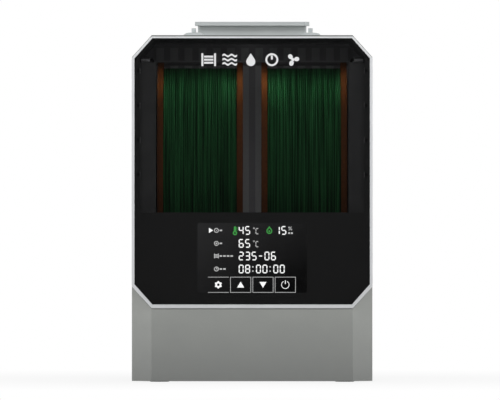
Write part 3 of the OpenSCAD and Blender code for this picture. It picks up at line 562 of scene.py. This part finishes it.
def wind_spool(side, seed):
    """The outer layer of turns, each with its own small wander, on a closed ring down to the card tube."""
    lo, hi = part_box(f"spool_{side}_filament")
    centre = (lo + hi) / 2
    outside = (hi.y - lo.y) / 2
    turns = round((hi.x - lo.x) / TURN)
    pitch = (hi.x - lo.x) / turns
    rng = random.Random(seed)
    wander = [[rng.uniform(-1, 1) for _ in range(4)] for _ in range(turns)]
    steps = 144
    solid = Solid()
    rings = []
    for k in range(steps):
        angle = 2 * math.pi * k / steps
        profile = [(lo.x, TUBE_RADIUS)]
        for i, (lift, drift, phase, sway) in enumerate(wander):
            wave = math.sin(angle + 3 * phase) * 0.5 + math.sin(2 * angle + 5 * sway) * 0.3
            shift = 0.10 * MM * drift + 0.10 * MM * wave * sway
            for t, radius in turn_heights(outside, lift, wave):
                x = lo.x + (i + t) * pitch + (shift if t else 0.0)
                profile.append((min(max(x, lo.x), hi.x), radius))
        profile += [(hi.x, outside - TURN), (hi.x, TUBE_RADIUS)]
        rings.append(solid.loop((x, centre.y + r * math.cos(angle), centre.z + r * math.sin(angle))
                                for x, r in profile))
    solid.ring(rings)
    solid.piece(f"winding_{side}", MATERIALS["green_filament"], f"spool_{side}", "green_filament",
                [f"spool_{side}_filament"], 70)


# ---------------------------------------------------------------- display

SEGMENTS = {"0": "abcdef", "1": "bc", "2": "abged", "3": "abgcd", "4": "fgbc", "5": "afgcd", "6": "afgedc",
            "8": "abcdefg", "-": "g", "C": "afed"}
DIGIT_W = 4.4 * MM
DIGIT_H = 7.7 * MM
DIGIT_PITCH = 5.7 * MM
COLON_PITCH = 3.9 * MM
STROKE = 0.95 * MM
NICK = 0.12 * MM            # gap between neighbouring segments


def segment_outline(letter, x, z, width, height, stroke):
    """One of the seven segments of a figure centred on x, z, with pointed ends."""
    half_w, half_h, half = width / 2 - stroke / 2, height / 2 - stroke / 2, stroke / 2
    rows = {"a": half_h, "g": 0.0, "d": -half_h}
    if letter in rows:
        zc = z + rows[letter]
        a, b = x - half_w + NICK, x + half_w - NICK
        return [(a, zc), (a + half, zc - half), (b - half, zc - half), (b, zc), (b - half, zc + half),
                (a + half, zc + half)]
    xc = x + (half_w if letter in "bc" else -half_w)
    a, b = (z + NICK, z + half_h - NICK) if letter in "bf" else (z - half_h + NICK, z - NICK)
    return [(xc, a), (xc + half, a + half), (xc + half, b - half), (xc, b), (xc - half, b - half),
            (xc - half, a + half)]


def draw_figure(layer, char, x, z, width=DIGIT_W, height=DIGIT_H, stroke=STROKE):
    """A seven-segment figure centred on x, z."""
    for letter in SEGMENTS[char]:
        layer.shape(segment_outline(letter, x, z, width, height, stroke))


def draw_number(white, dim, text, x, z):
    """Figures from x on, with the dots of a colon in the dim layer."""
    for char in text:
        if char == ":":
            for dz in (-1.9, 1.9):
                dim.bar(x + 1.1 * MM, z + dz * MM, 1.2 * MM, 1.2 * MM)
            x += COLON_PITCH
        else:
            draw_figure(white, char, x + DIGIT_W / 2, z)
            x += DIGIT_PITCH


def draw_degrees(dim, x, z):
    """A small ring and a small C."""
    dim.hoop(x, z + 1.9 * MM, 0.75 * MM, 0.35 * MM, 16)
    draw_figure(dim, "C", x + 2.9 * MM, z - 0.7 * MM, 3.1 * MM, 5.4 * MM, 0.75 * MM)


def draw_percent(dim, x, z):
    """A small percent sign over two short bars."""
    middle = z + 1.7 * MM
    for dx, dz in ((-1.0, 0.9), (1.0, -0.9)):
        dim.hoop(x + dx * MM, middle + dz * MM, 0.7 * MM, 0.25 * MM, 16)
    dim.shape([(x - 1.5 * MM, middle - 1.7 * MM), (x - 0.9 * MM, middle - 1.7 * MM),
               (x + 1.5 * MM, middle + 1.7 * MM), (x + 0.9 * MM, middle + 1.7 * MM)])
    for dx in (-0.9, 1.5):
        dim.bar(x + dx * MM, z - 2.4 * MM, 1.7 * MM, 1.5 * MM)


def draw_row_symbols(dim, x, rows):
    """Symbols in place of row titles: a gauge, a target, a spool and a clock, each with small blocks."""
    gauge, target, spool, clock = rows
    for row, blocks in zip(rows, (1, 1, 4, 2)):
        for k in range(blocks):
            dim.bar(x + (3.9 + 3.2 * k) * MM, row, 2.3 * MM, 1.3 * MM)
    for row in (gauge, target, clock):
        dim.hoop(x, row, 2.1 * MM, 1.45 * MM)
    dim.shape([(x - 0.4 * MM, gauge - 0.3 * MM), (x + 0.1 * MM, gauge - 0.7 * MM),
               (x + 1.2 * MM, gauge + 1.0 * MM)])
    dim.disc(x, target, 0.7 * MM, 16)
    for dx in (-1.7, 1.7):
        dim.bar(x + dx * MM, spool, 0.7 * MM, 4.2 * MM)
    for dz in (-1.1, 0.0, 1.1):
        dim.bar(x, spool + dz * MM, 2.5 * MM, 0.65 * MM)
    dim.bar(x, clock + 0.55 * MM, 0.55 * MM, 1.4 * MM)
    dim.bar(x + 0.5 * MM, clock - 0.1 * MM, 1.2 * MM, 0.55 * MM)


def draw_thermometer(green, x, z):
    """A hollow bulb under a stem, with three marks beside it."""
    green.shape(arc(x, z + 2.6 * MM, 1.0 * MM, 0, 180, 14)
                + [(x - 1.0 * MM, z - 0.9 * MM), (x + 1.0 * MM, z - 0.9 * MM)])
    green.hoop(x, z - 2.3 * MM, 1.95 * MM, 0.8 * MM)
    for dz in (0.3, 1.5, 2.7):
        green.bar(x + 1.8 * MM, z + dz * MM, 0.9 * MM, 0.5 * MM)


def draw_humidity(green, x, z):
    """A hollow drop with a dot in it."""
    green.band(drop_outline(x, z, 2.6 * MM, 4.3 * MM), drop_outline(x, z, 1.6 * MM, 2.6 * MM))
    green.disc(x, z - 0.2 * MM, 0.9 * MM, 20)


def draw_cog(white, x, z):
    """A cog with six soft teeth and a round hole."""
    rim = []
    hole = []
    for k in range(72):
        a = 2 * math.pi * k / 72
        radius = (2.95 + 0.42 * math.cos(6 * a)) * MM
        rim.append((x + radius * math.sin(a), z + radius * math.cos(a)))
        hole.append((x + 1.15 * MM * math.sin(a), z + 1.15 * MM * math.cos(a)))
    white.band(rim, hole)


def draw_keys(white, dim, middle, z):
    """Four touch keys: a cog, up, down and power, each in a thin frame."""
    half_w, half_h, line, pitch = 9.0 * MM, 6.75 * MM, 0.42 * MM, 19.75 * MM
    xs = [middle + (k - 1.5) * pitch - 0.3 * MM for k in range(4)]
    for k, x in enumerate(xs):
        for way in (-1, 1):
            dim.bar(x, z + way * half_h, 2 * half_w + line, line)
            # The first frame is open at its sides.
            if k > 0:
                dim.bar(x + way * half_w, z, line, 2 * half_h - line)
    draw_cog(white, xs[0], z)
    for x, way in ((xs[1], 1), (xs[2], -1)):
        white.shape([(x - 3.1 * MM, z - way * 2.5 * MM), (x + 3.1 * MM, z - way * 2.5 * MM),
                     (x, z + way * 2.8 * MM)])
    start, end = 118, 422           # degrees, so that the power sign is open at the top
    white.shape(arc(xs[3], z, 3.6 * MM, start, end) + arc(xs[3], z, 3.1 * MM, start, end)[::-1])
    white.bar(xs[3], z + 2.3 * MM, 0.7 * MM, 3.4 * MM)


def build_display():
    """Lit figures, symbols and touch keys, in the thin space between the smoked sheet and the display."""
    lo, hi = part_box("lcd_glass")
    mid = (lo + hi) / 2
    y0, y1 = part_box("front_panel")[1].y + 0.02 * MM, lo.y - 0.02 * MM
    white, dim, green = [Layer(y0, y1) for _ in range(3)]
    left = mid.x - 11.9 * MM            # left edge of the column of figures
    rows = [mid.z + dz * MM for dz in (24.3, 12.85, 1.7, -9.8)]

    # Temperature now and humidity, target temperature, programme, time left.
    for text, x, z in (("45", left, rows[0]), ("15", left + 32.0 * MM, rows[0]), ("65", left, rows[1]),
                       ("235-06", left, rows[2]), ("08:00:00", left, rows[3])):
        draw_number(white, dim, text, x, z)
    for z in rows[:2]:
        draw_degrees(dim, mid.x + 1.6 * MM, z)
    draw_percent(dim, mid.x + 33.6 * MM, rows[0])

    # Marker of the selected row.
    x = mid.x - 38.2 * MM
    white.shape([(x, rows[0] - 2.3 * MM), (x + 3.7 * MM, rows[0]), (x, rows[0] + 2.3 * MM)])
    draw_row_symbols(dim, mid.x - 31.6 * MM, rows)
    draw_thermometer(green, mid.x - 15.2 * MM, rows[0])
    draw_humidity(green, mid.x + 15.2 * MM, rows[0] - 0.5 * MM)
    draw_keys(white, dim, mid.x, mid.z - 23.75 * MM)
    white.piece("display_figures", lit("lit_white", (1.0, 1.0, 1.0), 1.75), "cabinet", "display_glass")
    dim.piece("display_symbols", lit("lit_dim", (1.0, 1.0, 1.0), 0.75), "cabinet", "display_glass")
    green.piece("display_green", lit("lit_green", (0.07, 0.50, 0.09), 0.85), "cabinet", "display_glass")


# ---------------------------------------------------------------- mark on the window

def draw_blade(layer, x, z, start):
    """A fan blade: an arc that starts at the hub and swells to one side."""
    blade = []
    for k in range(25):
        t = k / 24
        angle = math.radians(start + 78 * t)
        reach = (1.9 + 3.8 * math.sin(math.pi * t) ** 0.6) * MM
        blade.append((x + reach * math.cos(angle), z + reach * math.sin(angle)))
    layer.shape(blade)


def build_window_mark():
    """Row of plain white symbols near the top of the window: spool, warm air, drop, dial and fan."""
    lo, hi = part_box("front_panel")
    middle, z = (lo.x + hi.x) / 2 - 1.2 * MM, hi.z - 18.9 * MM
    pitch = 18.6 * MM
    spool_x, air_x, drop_x, dial_x, fan_x = [middle + (k - 2) * pitch for k in range(5)]
    high = 11.4 * MM
    line = 1.7 * MM
    print_layer = Layer(lo.y - 0.08 * MM, lo.y)
    for side in (-1, 1):
        print_layer.bar(spool_x + side * 5.6 * MM, z, line, high)
    for k in (-1, 0, 1):
        print_layer.bar(spool_x, z + k * 2.7 * MM, 8.2 * MM, line)
        print_layer.shape(wavy_band(air_x, z + k * 3.7 * MM, 13 * MM, 0.8 * MM, line))
    print_layer.shape(drop_outline(drop_x, z - 1.7 * MM, 4.0 * MM, 7.4 * MM))
    print_layer.hoop(dial_x, z, high / 2, high / 2 - line, 48)
    print_layer.bar(dial_x, z + 1.9 * MM, line, 3.6 * MM)
    print_layer.disc(fan_x, z, 1.5 * MM, 24)
    for start in (90, 210, 330):
        draw_blade(print_layer, fan_x, z, start)
    white = moulded("white_print", (0.80, 0.80, 0.80), (0.86, 0.86, 0.86), (0.4, 0.5))
    print_layer.piece("window_mark", white, "cabinet", "white_plastic")


# ---------------------------------------------------------------- soft and small pieces

def build_outlets():
    """Domed bushes on the lid, each with a rolled foot and a moat round its tube."""
    lo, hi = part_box("outlet_grommets")
    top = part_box("lid_cover")[1].z
    foot = 8.9 * MM
    tube = 2.0 * MM
    under = lo.z - top
    profile = [(tube, under), (6.2 * MM, under), (6.7 * MM, under + 0.5 * MM), (7.0 * MM, under + 2.4 * MM),
               (5.1 * MM, under + 2.4 * MM), (5.1 * MM, 0.0), (8.6 * MM, 0.0), (8.85 * MM, 0.2 * MM),
               (foot, 0.5 * MM), (8.75 * MM, 0.85 * MM)]
    for k in range(11):
        t = k / 10
        profile.append((8.5 * MM - t * 4.0 * MM, (1.15 + 1.65 * math.sin(t * math.pi / 2) ** 0.8) * MM))
    profile += [(4.1 * MM, 2.6 * MM), (3.6 * MM, 2.0 * MM), (3.2 * MM, 1.8 * MM), (tube, 1.8 * MM)]
    solid = Solid()
    for x in (lo.x + foot, hi.x - foot):
        solid.ring(solid.turned(profile, (x, (lo.y + hi.y) / 2, top), 72))
    solid.piece("outlet_bushes", MATERIALS["handle_grey"], "lid", "handle_grey", ["outlet_grommets"], 50)


def build_feet():
    """Rubber feet with a rounded rim and grip rings underneath."""
    lo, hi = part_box("rubber_feet")
    radius = 9 * MM
    profile = [(1.5 * MM, 0.9 * MM), (2.5 * MM, 0.5 * MM), (3.2 * MM, 0.0), (4.3 * MM, 0.0),
               (4.7 * MM, 0.3 * MM), (5.3 * MM, 0.3 * MM), (5.7 * MM, 0.0), (7.9 * MM, 0.0),
               (8.5 * MM, 0.15 * MM), (8.85 * MM, 0.5 * MM), (radius, 0.9 * MM), (radius, hi.z)]
    solid = Solid()
    for x in (lo.x + radius, hi.x - radius):
        for y in (lo.y + radius, hi.y - radius):
            solid.skin(solid.turned(profile, (x, y, 0.0), 56))
    solid.piece("feet", MATERIALS["rubber"], "cabinet", "rubber", ["rubber_feet"], 40)


def ribbed_profile(width, height, ribs):
    """Section of a seal, in (across, up), with round ribs along its underside and a flat top."""
    section = []
    base = height * 0.4
    per_rib = 8
    for i in range(ribs):
        for k in range(per_rib):
            t = k / per_rib
            across = -width / 2 + width * (i + t) / ribs
            section.append((across, base - base * math.sin(math.pi * t)))
    section += [(width / 2, base), (width / 2, height), (-width / 2, height)]
    return section


def lay_seal_strips(solid):
    """Ribbed strips under the lid's sides and back."""
    lo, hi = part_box("lid_gasket")
    rear_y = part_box("chamber_rear_panel")[0].y
    wall_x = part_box("chamber_side_right")[0].x
    inner, outer = wall_x + 5.2 * MM, wall_x + 13.2 * MM
    height = 2.8 * MM
    for side in (-1, 1):
        middle = side * (inner + outer) / 2
        section = ribbed_profile(outer - inner, height, 4)
        solid.skin([solid.loop((middle + a, y, lo.z + b) for a, b in section)
                    for y in (lo.y + 1.6 * MM, hi.y)])
    section = ribbed_profile(hi.y - rear_y, height, 2)
    solid.skin([solid.loop((x, (hi.y + rear_y) / 2 + a, lo.z + b) for a, b in section)
                for x in (-inner, inner)])


def lay_seal_arch(solid):
    """A soft arch behind the trim. It follows the lid's front edge, which is cut off at the corners."""
    lo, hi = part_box("lid_gasket")
    half, top, low = hi.x, hi.z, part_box("lid_cover")[0].z + 1.2 * MM
    cut_x, cut_z = 16.9 * MM, 18.7 * MM
    thick = 2.3 * MM
    depth = 1.3 * MM
    # The section's corners are cut off. In (depthwise, inwards), from 0 to 1.
    section = ((0.0, 0.25), (0.2, 0.0), (0.8, 0.0), (1.0, 0.25),
               (1.0, 0.75), (0.8, 1.0), (0.2, 1.0), (0.0, 0.75))
    edges = []
    for inset in (0.0, thick):
        shift = inset * math.tan(math.radians(24))
        side, corner, arch_x = half - inset, top - cut_z - shift, half - cut_x - shift
        edges.append([(side, low), (side, corner), (arch_x, top - inset),
                      (-arch_x, top - inset), (-side, corner), (-side, low)])
    rings = []
    for outside, inside in zip(*edges):
        rings.append(solid.loop((outside[0] + (inside[0] - outside[0]) * u, lo.y + v * depth,
                                 outside[1] + (inside[1] - outside[1]) * u) for v, u in section))
    solid.skin(rings)


def build_seal():
    """Grey seal under the lid."""
    solid = Solid()
    lay_seal_strips(solid)
    lay_seal_arch(solid)
    solid.piece("lid_seal", MATERIALS["grey_silicone"], "lid", "grey_silicone", ["lid_gasket"], 50)


# The leads inside the base, in millimetres: inlet to board, inlet to switch, and switch to board.
MAINS_ROUTES = [
    [(-91, 105, 31.8), (-91, 101, 31.8), (-90, 98, 28), (-87, 95.5, 23), (-82, 93.5, 19.6), (-79, 90, 18.6),
     (-79, 86, 18.6)],
    [(-77, 105, 31.8), (-77, 102, 31.8), (-75, 99.5, 32.5), (-70, 98, 33.4), (-63, 99.5, 34),
     (-58.5, 104, 34), (-57, 110, 34), (-57, 120, 34)],
    [(-57, 120, 28), (-57, 114, 28), (-58.5, 107, 26), (-62, 100, 22.4), (-66, 94, 19.4), (-68, 90, 18.6),
     (-68, 86, 18.6)],
]


def build_leads():
    """Insulated leads as bent tubes."""
    solid = Solid()
    for route in MAINS_ROUTES:
        solid.tube(smooth_path([Vector(p) * MM for p in route]), 1.15 * MM)
    solid.piece("mains_leads", MATERIALS["wire_cover"], "cabinet", "wire_cover", ["mains_wires"], 60)


def build_switch_marks():
    """A bar and a ring moulded on the rocker's two faces."""
    middle_x = sum(corner.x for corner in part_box("switch_rocker")) / 2
    axle = Vector(next(j for j in frame["joints"] if j["name"] == "power_switch")["pos_m"])
    tilt = math.radians(10)
    waist, end, reach = 2.2 * MM, 3.6 * MM, 7.6 * MM

    def place(outline, height):
        """Lays an outline on the faces, which slope from waist out to end over this reach, and lifts it."""
        points = []
        for x, z in outline:
            y = waist + abs(z) * (end - waist) / reach + height
            points.append((middle_x + x, axle.y + y * math.cos(tilt) - z * math.sin(tilt),
                           axle.z + y * math.sin(tilt) + z * math.cos(tilt)))
        return points

    above, below = 0.06 * MM, -0.1 * MM
    bar = rectangle(0, 4.2 * MM, 0.6 * MM, 3.0 * MM)
    outer, inner = circle(0, -4.2 * MM, 1.5 * MM, 24), circle(0, -4.2 * MM, 0.95 * MM, 24)
    solid = Solid()
    solid.skin([solid.loop(place(bar, height)) for height in (above, below)])
    solid.ring([solid.loop(place(outline, height)) for outline, height in
                ((outer, above), (outer, below), (inner, below), (inner, above))])
    solid.piece("switch_marks", MATERIALS["white_plastic"], "power_rocker", "white_plastic")


# ---------------------------------------------------------------- build

dress_cad_nodes()
thin_print()
soften_edges(["main_housing", "rear_panel", "lid_cover"], 0.5 * MM, 3)
soften_edges(["front_frame", "handle"], 0.4 * MM, 3)
soften_edges(["front_panel", "bottom_cover", "ac_inlet", "switch_housing", "switch_rocker", "desiccant_boxes",
              "desiccant_box_lids", "sensor_cover", "spool_left_core", "spool_right_core"], 0.3 * MM)
wind_spool("left", 11)
wind_spool("right", 23)
build_display()
build_window_mark()
build_outlets()
build_feet()
build_seal()
build_leads()
build_switch_marks()


# ---------------------------------------------------------------- floor, light and camera

def glowing_floor():
    """Pale floor that fades into the white surroundings. It throws little light up at the object's foot."""
    p = Paint("floor", Roughness=0.8)
    seen = p.add("ShaderNodeLightPath").outputs["Is Camera Ray"]
    p.colour(seen, (0.22, 0.22, 0.22), (0.60, 0.60, 0.60))
    out = p.tree.nodes["Material Output"]
    far = p.add("ShaderNodeVectorMath", {0: p.where}, operation="LENGTH").outputs["Value"]
    near_glow = p.math("MULTIPLY", seen, 0.88)
    glow = p.add("ShaderNodeEmission", {"Strength": 1.0})
    blend = p.add("ShaderNodeMixShader", {"Fac": p.spread(far, 0.2, 0.6, near_glow, 1.0)})
    p.tree.links.new(p.shader.outputs[0], blend.inputs[1])
    p.tree.links.new(glow.outputs[0], blend.inputs[2])
    p.tree.links.new(blend.outputs[0], out.inputs["Surface"])
    return p.material


def build_stage():
    """A round floor just under the feet."""
    solid = bmesh.new()
    bmesh.ops.create_circle(solid, cap_ends=True, segments=96, radius=0.9)
    mesh = bpy.data.meshes.new("floor")
    solid.to_mesh(mesh)
    solid.free()
    mesh.materials.append(glowing_floor())
    floor = bpy.data.objects.new("floor", mesh)
    floor.location.z = -0.05 * MM
    bpy.context.scene.collection.objects.link(floor)


def soft_box(name, place, target, width, height, power, mirrored=True):
    """A rectangular lamp. One that isn't mirrored gives light but no highlight."""
    light = bpy.data.lights.new(name, "AREA")
    light.shape = "RECTANGLE"
    light.size = width
    light.size_y = height
    light.energy = power
    obj = bpy.data.objects.new(name, light)
    obj.location = place
    obj.rotation_euler = (Vector(target) - Vector(place)).to_track_quat("-Z", "Y").to_euler()
    obj.visible_camera = False
    obj.visible_glossy = mirrored
    bpy.context.scene.collection.objects.link(obj)


def build_studio_lamps():
    """Large soft lamps round the object."""
    middle = (0, 0, 0.16)
    soft_box("key", (0, -0.75, 0.75), (0, 0, 0.12), 0.5, 0.3, 2.7)
    soft_box("front", (0, -3.0, 0.68), middle, 1.2, 0.5, 15)
    soft_box("left", (-2.4, -0.45, 0.7), middle, 1.2, 1.2, 22.5)
    soft_box("right", (2.4, -0.45, 0.7), middle, 1.2, 1.2, 22.5)
    soft_box("top", (0, 0.2, 2.4), middle, 1.4, 1.4, 9)
    soft_box("behind", (0.3, 2.4, 1.4), middle, 1.4, 1.2, 24)


def build_inner_lamps():
    """Weak lamps in the chamber, for the daylight that fills a real one through its lid and window."""
    soft_box("spool_fronts", (0, -0.066, 0.297), (0, -0.05, 0.25), 0.172, 0.012, 0.005, False)
    for side in ("left", "right"):
        core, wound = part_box(f"spool_{side}_core"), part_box(f"spool_{side}_filament")
        for start, end in ((core[0].x, wound[0].x), (wound[1].x, core[1].x)):
            x = (start + end) / 2
            soft_box("rim", (x, -0.066, 0.292), (x, -0.048, 0.252), end - start, 0.006, 0.010, False)
    soft_box("rear_wall", (0, 0.06, 0.289), (0, 0.13, 0.270), 0.17, 0.008, 0.0018, False)
    soft_box("spool_gap", (0, 0.0, 0.158), (0, 0.13, 0.153), 0.010, 0.13, 0.020, False)


def build_surroundings():
    """White to look at, and a faint sky as light."""
    world = bpy.data.worlds.new("surroundings")
    world.use_nodes = True
    tree = world.node_tree
    sky = tree.nodes["Background"]
    sky.inputs["Color"].default_value = (0.9, 0.95, 1.0, 1.0)
    sky.inputs["Strength"].default_value = 0.10
    backdrop = tree.nodes.new("ShaderNodeBackground")
    backdrop.inputs["Color"].default_value = (1, 1, 1, 1)
    rays = tree.nodes.new("ShaderNodeLightPath")
    either = tree.nodes.new("ShaderNodeMixShader")
    tree.links.new(rays.outputs["Is Camera Ray"], either.inputs["Fac"])
    tree.links.new(sky.outputs[0], either.inputs[1])
    tree.links.new(backdrop.outputs[0], either.inputs[2])
    tree.links.new(either.outputs[0], tree.nodes["World Output"].inputs["Surface"])
    bpy.context.scene.world = world
    bpy.context.scene.view_settings.view_transform = "Standard"


def build_camera():
    """Straight front view from far away, so that it is nearly without perspective."""
    distance = 10.0
    view_width = 0.442
    centre_x, centre_z = -1.9 * MM, 161.0 * MM
    data = bpy.data.cameras.new("camera")
    data.sensor_width = 36.0
    data.lens = data.sensor_width * distance / view_width
    data.clip_start, data.clip_end = 1.0, 40.0
    camera = bpy.data.objects.new("camera", data)
    camera.location = (centre_x, cad_size[0].y - distance, centre_z)
    camera.rotation_euler = (math.radians(90), 0, 0)
    bpy.context.scene.collection.objects.link(camera)
    bpy.context.scene.camera = camera


build_stage()
build_studio_lamps()
build_inner_lamps()
build_surroundings()
build_camera()
